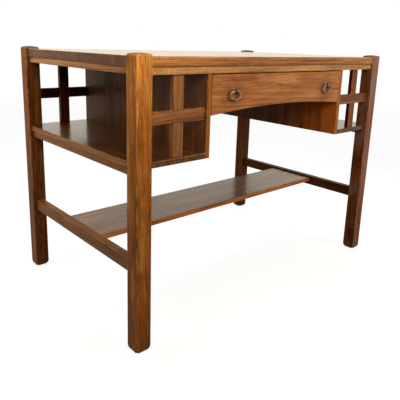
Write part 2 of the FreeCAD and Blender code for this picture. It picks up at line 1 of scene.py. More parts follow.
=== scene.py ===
# %% [markdown]
# This lesson dresses a library desk of stained oak. The desk's boards, joints and
# drawer come from a imported solid model, so every board already has its true size
# and place. What is left for Blender is what the eye enjoys: wood with grain that
# runs the right way, old lacquer, worn arrises with a painted highlight and cast
# bronze ring pulls. The box round the solids is kept, because the looks may not
# make the desk any larger.

import math

import bmesh
import bpy
from mathutils import Matrix, Vector


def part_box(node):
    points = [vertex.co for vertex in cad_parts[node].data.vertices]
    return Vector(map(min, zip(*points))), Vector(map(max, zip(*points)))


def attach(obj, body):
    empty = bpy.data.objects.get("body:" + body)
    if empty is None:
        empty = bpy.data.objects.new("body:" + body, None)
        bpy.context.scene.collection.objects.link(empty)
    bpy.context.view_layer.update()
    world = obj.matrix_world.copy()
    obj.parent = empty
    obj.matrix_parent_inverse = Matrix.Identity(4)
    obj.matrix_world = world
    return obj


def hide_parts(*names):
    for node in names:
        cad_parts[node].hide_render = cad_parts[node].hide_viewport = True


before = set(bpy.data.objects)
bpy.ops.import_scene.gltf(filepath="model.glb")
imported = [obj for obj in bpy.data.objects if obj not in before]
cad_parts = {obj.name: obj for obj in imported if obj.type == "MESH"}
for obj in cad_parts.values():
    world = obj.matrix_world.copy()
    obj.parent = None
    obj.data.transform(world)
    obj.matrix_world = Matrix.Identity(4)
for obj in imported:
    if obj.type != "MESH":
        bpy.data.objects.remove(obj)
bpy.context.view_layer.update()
MM = 0.001

# %% [markdown]
# The camera stands near the desk's left front corner, a little above its top, and
# tilts down. Its place, its three angles and its focal length were worked out from
# the desk's straight edges. It could be aimed at a point by a constraint, but a
# matrix made from its three directions holds the roll as well. The desk isn't in
# the middle of the lens's view, so the lens is shifted a little, as an architect's
# is, and that keeps the posts' slant as it is.

# %% Camera
FRAME_PIXELS = 400
FOCAL_PIXELS = 464.76
CENTRE_PIXELS = (196.53, 151.77)
CAMERA_PLACE = Vector((-1120.0, -1190.8, 778.5)) * MM
HEADING, TILT, ROLL = (math.radians(angle) for angle in (41.72, 13.11, -1.71))
SENSOR_WIDTH = 36.0

ahead = Vector((math.sin(HEADING) * math.cos(TILT),
                math.cos(HEADING) * math.cos(TILT), -math.sin(TILT)))
level = Vector((math.cos(HEADING), -math.sin(HEADING), 0))
below = ahead.cross(level)
camera_right = level * math.cos(ROLL) + below * math.sin(ROLL)
camera_down = below * math.cos(ROLL) - level * math.sin(ROLL)

lens = bpy.data.cameras.new("camera")
lens.sensor_width = SENSOR_WIDTH
lens.lens = SENSOR_WIDTH * FOCAL_PIXELS / FRAME_PIXELS
lens.shift_x = 0.5 - CENTRE_PIXELS[0] / FRAME_PIXELS
lens.shift_y = CENTRE_PIXELS[1] / FRAME_PIXELS - 0.5
camera = bpy.data.objects.new("camera", lens)
turn = Matrix((camera_right, -camera_down, -ahead)).transposed()
camera.matrix_world = Matrix.Translation(CAMERA_PLACE) @ turn.to_4x4()
bpy.context.scene.collection.objects.link(camera)
bpy.context.scene.camera = camera
bpy.context.scene.view_settings.view_transform = "Standard"
print("lens", round(lens.lens, 2), "mm, shift", round(lens.shift_x, 4), round(lens.shift_y, 4))

# %% [markdown]
# A material is a small network of nodes. One function adds a node, sets its
# options and fills or links its sockets, and every finish below is made with it.
# Colours are written as they look on a screen, in hex, and one function turns
# them into the linear values that the shaders reckon with.

# %% Adding nodes and writing colours
def linear(shade):
    """The linear colour of a hex shade such as #8a4e1e."""
    parts = [int(shade[k:k + 2], 16) / 255 for k in (1, 3, 5)]
    return tuple(p / 12.92 if p <= 0.04045 else ((p + 0.055) / 1.055) ** 2.4
                 for p in parts) + (1.0,)


def add(tree, kind, inputs=None, stops=None, **settings):
    """Adds a shader node with its settings, its ramp's stops and its links."""
    made = tree.nodes.new("ShaderNode" + kind)
    for name, value in settings.items():
        setattr(made, name, value)
    for socket, value in (inputs or {}).items():
        if isinstance(value, bpy.types.NodeSocket):
            tree.links.new(value, made.inputs[socket])
        else:
            made.inputs[socket].default_value = value
    if stops:
        ramp = made.color_ramp
        for place, _ in stops[1:-1]:
            ramp.elements.new(place)
        for element, (place, shade) in zip(ramp.elements, stops):
            element.position = place
            element.color = linear(shade)
    return made


def fresh(name):
    """An empty material and its node tree."""
    material = bpy.data.materials.new(name)
    material.use_nodes = True
    material.node_tree.nodes.clear()
    return material, material.node_tree


print("mid grey #808080 is", round(linear("#808080")[0], 3), "in linear light")

# %% [markdown]
# The desk was photographed on white. A bright white world would light it from all
# round and leave no dark between the boards. So the world is white only where a
# camera, a mirror or glass looks, and dim as a lamp: the polished tops shine while
# the spaces between the boards stay dark. Mirrors see a warmer white, as if the
# room round the desk were papered in cream.

# %% World
AMBIENT = 0.16
WHITE = "#ffffff"
ROOM = "#fff8e6"


def seen_directly(tree):
    """One where a camera, mirror or glass ray looks, and zero for soft light."""
    rays = add(tree, "LightPath").outputs
    some = add(tree, "Math", {0: rays["Is Camera Ray"], 1: rays["Is Glossy Ray"]},
               operation="MAXIMUM")
    return add(tree, "Math", {0: some.outputs[0], 1: rays["Is Transmission Ray"]},
               operation="MAXIMUM").outputs[0]


def room_white(tree):
    """White to a camera, and the room's warmer white to a mirror."""
    mirrored = add(tree, "LightPath").outputs["Is Glossy Ray"]
    return add(tree, "Mix", {0: mirrored, 6: linear(WHITE), 7: linear(ROOM)},
               data_type="RGBA").outputs[2]


world = bpy.data.worlds.new("studio")
world.use_nodes = True
bpy.context.scene.world = world
tree = world.node_tree
tree.nodes.clear()
strength = add(tree, "Mix", {0: seen_directly(tree), 2: AMBIENT, 3: 1.0})
air = add(tree, "Background", {"Color": room_white(tree), "Strength": strength.outputs[0]})
add(tree, "OutputWorld", {"Surface": air.outputs[0]})
print("the world gives", AMBIENT, "of the light that a camera sees in it")

# %% [markdown]
# Soft boxes light the desk, because small hard lamps would draw sharp shadows of
# the slats. A long one hangs close in front of the desk and a little above its top,
# so the upper front glows and the legs get darker towards the floor. One fills each
# end of the desk from a little behind, a small one warms the near corner, and a
# high one lights the back. The end and back boxes would glare in the polished top,
# so mirrors don't see them.

# %% Lamps
SOFT_BOXES = [
    # name, place, what it looks at, size (all in metres), watts, colour, seen by mirrors
    ("front_box", (0.4, -1.38, 1.1), (0.0, -0.3, 0.65), (1.6, 0.5), 13.8, "#fff0dc", True),
    ("left_box", (-1.2, 0.5, 0.95), (-0.5, 0.1, 0.6), (1.0, 0.5), 6.0, "#fff6ea", False),
    ("right_box", (1.3, 0.4, 0.95), (0.5, 0.0, 0.55), (1.0, 0.5), 4.2, "#fff6ea", False),
    ("corner_box", (-0.76, -0.75, 0.95), (-0.5, -0.3, 0.7), (0.25, 0.25), 2.6, "#fff0dc", True),
    ("back_box", (0.5, 1.5, 2.2), (0.0, 0.2, 0.4), (1.6, 0.6), 21, "#f6f8ff", False),
]


def soft_box(name, place, aim, size, watts, colour, mirrored):
    """An oblong lamp that looks at a point and isn't itself in the picture."""
    light = bpy.data.lights.new(name, "AREA")
    light.shape = "RECTANGLE"
    light.size, light.size_y = size
    light.energy = watts
    light.color = linear(colour)[:3]
    holder = bpy.data.objects.new(name, light)
    place = Vector(place)
    look = (Vector(aim) - place).to_track_quat("-Z", "Y")
    holder.matrix_world = Matrix.Translation(place) @ look.to_matrix().to_4x4()
    holder.visible_camera = False
    holder.visible_glossy = mirrored
    bpy.context.scene.collection.objects.link(holder)


for box in SOFT_BOXES:
    soft_box(*box)
print("soft boxes:", len(SOFT_BOXES))

# %% [markdown]
# Under the desk lies a sheet of matt white paper, larger than any view shows. Light
# enough to make it white would wash out the oak, so the camera sees a grey sheet,
# which takes the desk's shadow, and a glow on it that grows a little with distance.
# Soft light bounces off a dimmer sheet, so the undersides aren't flooded.

# %% White paper sweep
SWEEP_REACH = 30.0
GLOW_BY_DISTANCE = {"From Min": 1.0, "From Max": 7.0, "To Min": 0.845, "To Max": 0.98}
SHEET = "#939393"
DIM_SHEET = "#6a6762"

sweep_mesh = bmesh.new()
bmesh.ops.create_grid(sweep_mesh, x_segments=1, y_segments=1, size=SWEEP_REACH)
sweep_data = bpy.data.meshes.new("paper_sweep")
sweep_mesh.to_mesh(sweep_data)
sweep_mesh.free()
sweep = bpy.data.objects.new("paper_sweep", sweep_data)
bpy.context.scene.collection.objects.link(sweep)

paper, tree = fresh("matt_white_paper_sweep")
sheet = add(tree, "BsdfDiffuse", {"Color": linear(SHEET)})
spot = add(tree, "TexCoord").outputs["Object"]
far = add(tree, "VectorMath", {0: spot}, operation="LENGTH")
even = add(tree, "MapRange", {"Value": far.outputs["Value"], **GLOW_BY_DISTANCE})
glow = add(tree, "Emission", {"Color": room_white(tree), "Strength": even.outputs[0]})
lit = add(tree, "AddShader", {0: sheet.outputs[0], 1: glow.outputs[0]})
dim = add(tree, "BsdfDiffuse", {"Color": linear(DIM_SHEET)})
shown = add(tree, "MixShader", {0: seen_directly(tree), 1: dim.outputs[0], 2: lit.outputs[0]})
add(tree, "OutputMaterial", {"Surface": shown.outputs[0]})
sweep_data.materials.append(paper)
print("sweep reaches", SWEEP_REACH, "m each way")

# %% [markdown]
# A board is a slice out of a trunk, and its faces are cuts through one solid
# pattern: long lines along the grain, and the rings end on at its ends. A picture
# of wood could be wrapped round it, but the lines would break at every arris. So
# the oak is drawn in the log. The object's own coordinates are turned until the
# grain runs along z, and moved until the log's heart is at zero. They lean a
# little, because no board is sawn quite straight. The trunk isn't straight either,
# and a slow drift bends every line that follows it.

# %% The log that a board is cut from
GRAIN_TURN = {"x": (0, -math.pi / 2, 0), "y": (math.pi / 2, 0, 0), "z": (0, 0, 0)}
WARP_WIDTH = 300 * MM
WARP_REACH = 9 * MM
SLOW_SHARE = 0.35


def drawn_out(tree, spot, share):
    """Draws a pattern out along the grain, by counting only a share of its length."""
    return add(tree, "VectorMath", {0: spot, 1: (1.0, 1.0, share)},
               operation="MULTIPLY").outputs[0]


def log_places(tree, spot, grain, heart, lean):
    """Places in the log: the straight ones, slow ones, and those bent with the trunk."""
    turned = add(tree, "Mapping", {"Vector": spot, "Rotation": GRAIN_TURN[grain]})
    log = add(tree, "Mapping", {"Vector": turned.outputs[0], "Location": heart,
                                "Rotation": lean}).outputs[0]
    slow = drawn_out(tree, log, SLOW_SHARE)
    drift = add(tree, "TexNoise", {"Vector": slow, "Scale": 1 / WARP_WIDTH,
                                   "Detail": 5.0, "Roughness": 0.55})
    shove = add(tree, "VectorMath", {0: drift.outputs["Color"], 1: (-0.5, -0.5, -0.5)},
                operation="ADD")
    bent = add(tree, "VectorMath", {0: shove.outputs[0],
                                    1: (2 * WARP_REACH, 2 * WARP_REACH, 0.0), 2: log},
               operation="MULTIPLY_ADD")
    return log, slow, bent.outputs[0]


print("the trunk drifts up to", WARP_REACH / MM, "mm aside")

# %% [markdown]
# Four things make a board light or dark. Growth rings give soft bands, whose tone
# follows the distance from the log's heart. Fine and broad streaks run along the
# grain. And each board took the stain in its own way, in slow clouds. They are all
# noises, drawn out by different shares and added up, because one noise alone looks
# like smoke. Real rings are 2 to 4 mm wide, which is finer than a pixel, so they
# are drawn as coarse as they need to show.

# %% Rings, streaks and clouds of stain
RING_WIDTH = 5 * MM
STREAK_WIDTH = 4.5 * MM
STREAK_SHARE = 0.035
BROAD_WIDTH = 22 * MM
BROAD_SHARE = 0.06
CLOUD_WIDTH = 130 * MM
BROAD_WEIGHT = 0.7
CLOUD_WEIGHT = 0.6
TONE_REACH = 0.3
PAINTED_LIGHT_LEVEL = 400 * MM


def board_tone(tree, spot, slow, bent, bands, contrast, painted_light):
    """The tone, from 0, dark, to 1, pale, and the rings and fine streaks in it."""
    # With none of the length counted, what is left is the distance from the heart
    from_heart = add(tree, "VectorMath", {0: drawn_out(tree, bent, 0.0)}, operation="LENGTH")
    rings = add(tree, "TexNoise", {"W": from_heart.outputs["Value"], "Scale": 1 / RING_WIDTH,
                                   "Detail": 3.0, "Roughness": 0.6}, noise_dimensions="1D")
    streaks = add(tree, "TexNoise", {"Vector": drawn_out(tree, bent, STREAK_SHARE),
                                     "Scale": 1 / STREAK_WIDTH, "Detail": 6.0,
                                     "Roughness": 0.65})
    broad = add(tree, "TexNoise", {"Vector": drawn_out(tree, bent, BROAD_SHARE),
                                   "Scale": 1 / BROAD_WIDTH, "Detail": 3.0})
    clouds = add(tree, "TexNoise", {"Vector": slow, "Scale": 1 / CLOUD_WIDTH,
                                    "Detail": 4.0, "Roughness": 0.55})
    tone = streaks.outputs["Fac"]
    for part, weight in ((rings, bands), (broad, BROAD_WEIGHT), (clouds, CLOUD_WEIGHT)):
        tone = add(tree, "Math", {0: part.outputs["Fac"], 1: weight, 2: tone},
                   operation="MULTIPLY_ADD").outputs[0]

    # Painted light: the wood gets paler along a direction, counted from a level half way up the
    # desk
    away = add(tree, "VectorMath", {0: spot, 1: (0.0, 0.0, -PAINTED_LIGHT_LEVEL)}, operation="ADD")
    painted_brightness = add(tree, "VectorMath", {0: away.outputs[0], 1: painted_light}, operation="DOT_PRODUCT")
    tone = add(tree, "Math", {0: painted_brightness.outputs["Value"], 1: tone}, operation="ADD")
    centre = (1 + bands + BROAD_WEIGHT + CLOUD_WEIGHT) / 2
    spread = add(tree, "MapRange", {"Value": tone.outputs[0],
                                    "From Min": centre - TONE_REACH / contrast,
                                    "From Max": centre + TONE_REACH / contrast})
    return spread.outputs[0], rings.outputs["Fac"], streaks.outputs["Fac"]


print("rings", RING_WIDTH / MM, "mm and streaks", STREAK_WIDTH / MM, "mm wide")

# %% [markdown]
# Oak has open pores, fine dark dashes where the stain sank in, thickest where a ring
# starts. It also has rays, ribbons that cross the rings and flash as pale flecks on
# a quarter-sawn face. Both could be cut into the mesh, but a pore is only as deep as
# a hair, and a ray is flat. So both are colour, and the pores also a little bump.
# Real pores are 0.3 mm wide, and are drawn wider so that they show.

# %% Pores and rays
PORE_WIDTH = 1.2 * MM
PORE_SHARE = 0.05
PORE_EDGE = {"From Min": 0.55, "From Max": 0.66}
EARLY_WOOD = {"From Min": 0.1, "From Max": 0.8, "To Min": 0.8, "To Max": 0.3}
FLECK_WIDTH = 5 * MM
FLECK_SHARE = 0.14
FLECK_EDGE = {"From Min": 0.5, "From Max": 0.72}


def open_pores(tree, bent, rings):
    """Where a pore shows, and how strongly."""
    pores = add(tree, "TexNoise", {"Vector": drawn_out(tree, bent, PORE_SHARE),
                                   "Scale": 1 / PORE_WIDTH, "Detail": 2.0})
    dashes = add(tree, "MapRange", {"Value": pores.outputs["Fac"], **PORE_EDGE})
    early = add(tree, "MapRange", {"Value": rings, **EARLY_WOOD})
    return add(tree, "Math", {0: dashes.outputs[0], 1: early.outputs[0]},
               operation="MULTIPLY").outputs[0]


def ray_flecks(tree, log, fleck):
    """Short ribbons across the grain, up to a strength."""
    across = add(tree, "Mapping", {"Vector": log, "Scale": (FLECK_SHARE, FLECK_SHARE, 1.0)})
    ribbons = add(tree, "TexNoise", {"Vector": across.outputs[0], "Scale": 1 / FLECK_WIDTH,
                                     "Detail": 3.0, "Roughness": 0.6})
    return add(tree, "MapRange", {"Value": ribbons.outputs["Fac"], **FLECK_EDGE,
                                  "To Max": fleck}).outputs[0]


print("pores", PORE_WIDTH / MM, "mm and flecks", FLECK_WIDTH / MM, "mm wide")

# %% [markdown]
# End grain drinks stain: it looks greyer, mottled and dull. It is wherever a face
# looks along the grain, so the normal finds it and nothing has to be masked by
# hand. Old grime lies on the faces in soft olive smudges, a little longer along
# the grain.

# %% End grain and grime
GRAIN_WAY = {"x": (1, 0, 0), "y": (0, 1, 0), "z": (0, 0, 1)}
ACROSS_TURN = {"From Min": 0.75, "From Max": 0.95, "To Max": 0.85}
GRIME = "#4c3a1a"
GRIME_WIDTH = 50 * MM
GRIME_SHARE = 0.45
GRIME_EDGE = {"From Min": 0.5, "From Max": 0.68}


def faces_across(tree, normal, way):
    """Where a face looks along an axis, either way."""
    facing = add(tree, "VectorMath", {0: normal, 1: GRAIN_WAY[way]}, operation="DOT_PRODUCT")
    square = add(tree, "Math", {0: facing.outputs["Value"]}, operation="ABSOLUTE")
    return add(tree, "MapRange", {"Value": square.outputs[0], **ACROSS_TURN}).outputs[0]


def smudges(tree, log, grime):
    """Soft smudges, up to a strength."""
    longish = drawn_out(tree, log, GRIME_SHARE)
    soft = add(tree, "TexNoise", {"Vector": longish, "Scale": 1 / GRIME_WIDTH,
                                  "Detail": 5.0, "Roughness": 0.65})
    return add(tree, "MapRange", {"Value": soft.outputs["Fac"], **GRIME_EDGE,
                                  "To Max": grime}).outputs[0]


print("smudges", GRIME_WIDTH / MM, "mm wide")

# %% [markdown]
# On a rubbed arris the stain has worn through to paler wood, here and there, and
# small chips are nicked out of it. The pale line on a rounded arris is in part a
# painted highlight too. A Bevel node blends the normals near a sharp arris, so the
# arris is wherever its normal leaves the face's own. A rounded one is wherever the
# surface faces between two axes. This follows any board, with no mask to paint, and
# the same soft normal catches a glint along the arris.

# %% Worn arrises with a painted highlight, and nicks
BEVEL_SAMPLES = 6
SHARP_TURN = {"From Min": 0.99, "From Max": 0.86}
ROUND_TURN = {"From Min": 0.97, "From Max": 0.82}
RUB_WIDTH = 34 * MM
RUB_EDGE = {"From Min": 0.46, "From Max": 0.62}
NICK_WIDTH = 6 * MM
NICK_EDGE = {"From Min": 0.62, "From Max": 0.7}
NICKS_ON_FACES = 0.12


def arrises(tree, normal, rub):
    """The softened normal, and where an arris is, out to its reach in millimetres."""
    soft = add(tree, "Bevel", {"Radius": rub * MM}, samples=BEVEL_SAMPLES).outputs[0]
    flat = add(tree, "NewGeometry").outputs["Normal"]
    same = add(tree, "VectorMath", {0: soft, 1: flat}, operation="DOT_PRODUCT")
    sharp = add(tree, "MapRange", {"Value": same.outputs["Value"], **SHARP_TURN})
    leaning = add(tree, "VectorMath", {0: normal}, operation="ABSOLUTE")
    sides = add(tree, "SeparateXYZ", {"Vector": leaning.outputs[0]}).outputs
    widest = sides[0]
    for other in sides[1:]:
        widest = add(tree, "Math", {0: widest, 1: other}, operation="MAXIMUM").outputs[0]
    rounded = add(tree, "MapRange", {"Value": widest, **ROUND_TURN})
    rim = add(tree, "Math", {0: sharp.outputs[0], 1: rounded.outputs[0]}, operation="MAXIMUM")
    return soft, rim.outputs[0]


def bare_wood_and_highlight(tree, spot, rim, wear_and_highlight, nicks):
    """Where the stain is worn through, which on a rounded arris is also a painted highlight:
    patches of the arrises, and small nicks.
    """
    hands = add(tree, "TexNoise", {"Vector": spot, "Scale": 1 / RUB_WIDTH,
                                   "Detail": 8.0, "Roughness": 0.8})
    touched = add(tree, "MapRange", {"Value": hands.outputs["Fac"], **RUB_EDGE,
                                     "To Max": wear_and_highlight})
    rubbed = add(tree, "Math", {0: rim, 1: touched.outputs[0]}, operation="MULTIPLY")
    knocks = add(tree, "TexNoise", {"Vector": spot, "Scale": 1 / NICK_WIDTH, "Detail": 2.0})
    nick = add(tree, "MapRange", {"Value": knocks.outputs["Fac"], **NICK_EDGE,
                                  "To Max": nicks})
    share = add(tree, "MapRange", {"Value": rim, "To Min": NICKS_ON_FACES, "To Max": 1.0})
    return add(tree, "Math", {0: nick.outputs[0], 1: share.outputs[0], 2: rubbed.outputs[0]},
               operation="MULTIPLY_ADD", use_clamp=True).outputs[0]


print("rubbed patches", RUB_WIDTH / MM, "mm and nicks", NICK_WIDTH / MM, "mm wide")

# %% [markdown]
# Now the oak itself. The bare wood's ramp comes first, and then one layer after
# another is laid over it, as stain, dirt and wear came to the real desk. Over the
# colour lies old lacquer. It is a coat on the Principled shader, thick on level
# faces and thin on upright ones, and the wood below has a weak amber sheen, as
# darkened shellac gives it. Pores and streaks also make a slight bump.

# %% Stained oak
THIN_GLOSS = 0.1
LEVEL_TURN = {"From Min": 0.5, "From Max": 0.9}
AMBER = "#e8a868"
STREAK_DULL = 0.2
ACROSS_DULL = 0.25
PORE_DEPTH = 0.4 * MM
ACROSS_STOPS = (0.1, 0.8)
LACQUER = {"Specular Tint": linear(AMBER), "Coat Roughness": 0.14, "Coat IOR": 1.45}


def stained_oak(name, grain, shades, heart=(0.9, 0.25, 0.0), lean=(0.02, 0.015, 0.0),
                bands=0.8, contrast=1.0, painted_light=(0.0, 0.0, 0.0), fleck=0.0, wear_and_highlight=0.6,
                rub=2.2, nicks=0.0, grime=0.0, gloss=0.1, shine=0.1, matt=0.42,
                across_way=None, across_shades=("#2c1e12", "#4b3622"), pale_wood="#c8904c"):
    """Oak under old lacquer. Shades run dark, middle, light. The log's heart is given
    across the grain, and the board leans on it by small angles. Bands is the rings'
    weight, and a direction of painted light makes the wood paler along it. Fleck is
    for the rays, and rub is how far wear reaches from an arris, in millimetres; on a
    rounded arris the pale wear is also a painted highlight. Nicks are small pale
    chips, most of them on the arrises, and grime is olive brown smudges. Gloss is the
    lacquer that is left, shine the wood's own, and matt its roughness. The end shades
    go on faces across the grain, or across another axis if given, and on one upright's
    sides they are painted shade."""
    material, tree = fresh(name)
    place = add(tree, "TexCoord").outputs
    log, slow, bent = log_places(tree, place["Object"], grain, heart, lean)
    tone, rings, streaks = board_tone(tree, place["Object"], slow, bent, bands, contrast, painted_light)
    wood = add(tree, "ValToRGB", {"Fac": tone}, stops=list(zip((0.0, 0.5, 1.0), shades)))
    across_colour = add(tree, "ValToRGB", {"Fac": tone}, stops=list(zip(ACROSS_STOPS, across_shades)))
    pore = open_pores(tree, bent, rings)
    across_faces = faces_across(tree, place["Normal"], across_way or grain)
    soft, rim = arrises(tree, place["Normal"], rub)
    layers = [
        (pore, linear(shades[0])),
        (ray_flecks(tree, log, fleck), linear(pale_wood)),
        (across_faces, across_colour.outputs[0]),
        (smudges(tree, log, grime), linear(GRIME)),
        (bare_wood_and_highlight(tree, place["Object"], rim, wear_and_highlight, nicks), linear(pale_wood)),
    ]
    colour = wood.outputs[0]
    for amount, paint in layers:
        colour = add(tree, "Mix", {0: amount, 6: colour, 7: paint},
                     data_type="RGBA").outputs[2]

    dull = add(tree, "Math", {0: streaks, 1: STREAK_DULL, 2: matt - STREAK_DULL / 2},
               operation="MULTIPLY_ADD")
    dull = add(tree, "Math", {0: across_faces, 1: ACROSS_DULL, 2: dull.outputs[0]},
               operation="MULTIPLY_ADD")
    depth = add(tree, "Math", {0: pore, 1: -1.0, 2: streaks}, operation="MULTIPLY_ADD")
    bump = add(tree, "Bump", {"Height": depth.outputs[0], "Strength": 0.15,
                              "Distance": PORE_DEPTH, "Normal": soft})
    upward = add(tree, "SeparateXYZ", {"Vector": place["Normal"]}).outputs[2]
    polish = add(tree, "MapRange", {"Value": upward, **LEVEL_TURN,
                                    "To Min": min(gloss, THIN_GLOSS), "To Max": gloss})
    lacquer = add(tree, "BsdfPrincipled", {
        "Base Color": colour, "Roughness": dull.outputs[0], "Normal": bump.outputs[0],
        "Specular IOR Level": shine, "Coat Weight": polish.outputs[0],
        "Coat Normal": soft, **LACQUER})
    add(tree, "OutputMaterial", {"Surface": lacquer.outputs[0]})
    return material


print("lacquer on upright faces is at most", THIN_GLOSS)

# %% [markdown]
# Every board gets the oak with its grain along its length. One finish for all would
# be simpler, but the shades differ from board to board, as they do on a desk whose
# parts were cut from several trunks and have faded unevenly for a century, and
# because some carry painted light and shade. A finish is kept under the start of its
# boards' names, and the first that fits is taken, so the particular ones come before
# the general. The posts are dull and nicked, and paler towards the top with painted
# light. The near one is painted gold at its top as if lit there, and the far one is
# redder below, with a painted grey sheen at its top.

# %% Finishes of the posts
OAK = {}
OAK["post_front_left"] = stained_oak(
    "golden_oak_near_post", "z", ("#5a300c", "#9c5c26", "#cc9048"),
    heart=(0.8, 0.35, 0.0), lean=(0.05, 0.04, 0.0), bands=0.5, contrast=0.9,
    painted_light=(0.0, 0.0, 0.35), wear_and_highlight=0.6, rub=5.0, nicks=0.9, grime=0.5, gloss=0.04,
    shine=0.03, across_shades=("#5e4a28", "#8c7648"), pale_wood="#eabc88")
OAK["post_front_right"] = stained_oak(
    "red_oak_far_post", "z", ("#4e280c", "#8e5022", "#8c7470"),
    heart=(0.8, 0.35, 0.0), lean=(0.04, 0.05, 0.0), painted_light=(0.0, 0.0, 0.35),
    nicks=0.4, gloss=0.05, shine=0.06, pale_wood="#d8b080")
OAK["post"] = stained_oak(
    "stained_oak_posts", "z", ("#401e0a", "#7a441e", "#b07038"),
    heart=(0.8, 0.35, 0.0), lean=(0.045, 0.03, 0.0), bands=0.5, contrast=0.9,
    painted_light=(0.0, 0.0, 0.3), nicks=0.5, grime=0.3, gloss=0.05, shine=0.04, pale_wood="#e0b478")
print("post finishes:", len(OAK))

# %% [markdown]
# The top board is waxed and takes the strongest gloss. Its front rail was cut on
# the quarter, so pale ray flecks cross it and its rings hardly show. The left rail
# has bleached, and the others lie in the top's shade and kept their stain.

# %% Finishes of the top board and its rails
OAK["top_board"] = stained_oak(
    "waxed_oak_top_board", "x", ("#5e3418", "#a86c3a", "#d09658"),
    heart=(1.0, 0.6, 0.0), gloss=1.0, shine=0.4, matt=0.34, across_shades=("#1c150e", "#564636"))
OAK["top_rail_front"] = stained_oak(
    "quartered_oak_front_rail", "x", ("#764820", "#ac794a", "#d09e66"),
    bands=0.4, fleck=0.5, pale_wood="#e0b474")
OAK["top_rail_left"] = stained_oak(
    "stained_oak_left_rail", "y", ("#704826", "#b07c4c", "#d0a068"))
OAK["top_rail"] = stained_oak(
    "stained_oak_hidden_rails", "x", ("#54300f", "#824e20", "#a26c34"))
print("with the top and its rails:", len(OAK))

# %% [markdown]
# The book compartments are dark, with painted shade where little light reaches them.
# Their shelves are waxed, and dark partly with painted shade, and the slats at the
# front are paler than those behind, which are painted darker as painted shade. Each
# partition has painted light: it is brightest where it reaches the front. Its front
# edge and a shelf's outer edge are paler still, because hands rub them. The end
# shades, when they are turned to another axis, give such edges without a second
# material, and they paint shade on the sides of the right upright in the same way.

# %% Finishes of the book compartments
# The book shelves are dark partly with painted shade
OAK["book_shelf"] = stained_oak(
    "waxed_oak_book_shelves", "y", ("#2a1406", "#4c2a0e", "#744a24"),
    gloss=0.65, shine=0.3, matt=0.34, across_way="x", across_shades=("#6a3c14", "#a06a34"))
OAK["shelf_rail"] = stained_oak(
    "stained_oak_shelf_rails", "y", ("#4a280c", "#7c4a1a", "#a06a2e"), contrast=0.8)
# The back slats are painted darker than the front ones, as painted shade
OAK["upright_slat_back"] = stained_oak(
    "dark_oak_back_uprights", "z", ("#1c0a04", "#42180a", "#6a3014"), contrast=0.7)
OAK["cross_slat_back"] = stained_oak(
    "dark_oak_back_cross_slats", "x", ("#180a04", "#32140a", "#5a2a14"), contrast=0.7)
# The shades across x paint shade on this upright's sides
OAK["upright_slat_front_right"] = stained_oak(
    "red_oak_right_upright", "z", ("#40190c", "#784022", "#a0643e"),
    contrast=0.8, across_way="x", across_shades=("#200c06", "#42180c"))
OAK["upright_slat"] = stained_oak(
    "stained_oak_upright_slats", "z", ("#522c12", "#926038", "#b27e50"), contrast=0.8)
OAK["cross_slat"] = stained_oak(
    "stained_oak_cross_slats", "x", ("#4a2610", "#7e5030", "#a66e42"))
# Painted shade darkens this partition, and painted light makes it paler towards the front
OAK["partition_left"] = stained_oak(
    "dark_oak_left_partition", "z", ("#20120a", "#482812", "#80461c"),
    contrast=0.6, painted_light=(0.0, -0.3, 0.0), grime=0.5, across_way="y", across_shades=("#7c4418", "#b06c30"))
# Painted light makes this partition bright orange towards the front
OAK["partition"] = stained_oak(
    "red_oak_right_partition", "z", ("#2c1007", "#521f0a", "#d07422"),
    contrast=0.68, painted_light=(0.0, -1.6, 0.0), across_way="y", across_shades=("#6c4022", "#98643e"))
OAK["back_panel"] = stained_oak(
    "stained_oak_back_panel", "x", ("#4e280e", "#7c461a", "#9c622a"))
print("with the book compartments:", len(OAK))

# %% [markdown]
# The drawer's front shows its rings as flat arches, because its log's heart lies
# close and the board leans along it. Below, the stretchers are dull, the right one
# painted darker as painted shade, and the low shelf has strong bands under a worn
# wax, with a bright edge where feet rubbed it.

# %% Finishes of the drawer's front, the stretchers and the low shelf
OAK["drawer_front"] = stained_oak(
    "stained_oak_drawer_front", "x", ("#6a361c", "#aa6e40", "#cc8e58"),
    heart=(0.7, 0.5, 0.0), lean=(0.022, 0.004, 0.0), bands=0.7, contrast=0.75, grime=0.15)
# Painted shade: the right stretcher is a darker copy of the stretcher oak
OAK["stretcher_right"] = stained_oak(
    "dark_oak_right_stretcher", "y", ("#200e06", "#4c2612", "#74401e"), gloss=0.0)
OAK["stretcher"] = stained_oak(
    "stained_oak_left_stretcher", "y", ("#48260a", "#7e4e1e", "#a66e34"),
    contrast=0.8, shine=0.04)
OAK["low_shelf"] = stained_oak(
    "waxed_oak_low_shelf", "x", ("#30180c", "#684024", "#986c4a"),
    heart=(0.5, 0.9, 0.0), contrast=1.6, grime=0.35, gloss=0.52, shine=0.3, matt=0.34,
    across_way="y", across_shades=("#8c4614", "#c4742e"))
print("with the lower boards:", len(OAK))

# %% [markdown]
# Wood that stays out of sight was never stained. Runners, kickers, stops and buttons
# are plain oak, and so are the drawer's sides and back. Its bottom is birch plywood,
# paler and with weak rings. None of it was lacquered, so it is rough and has no
# coat. The same function makes it, because only the colours and the gloss change.

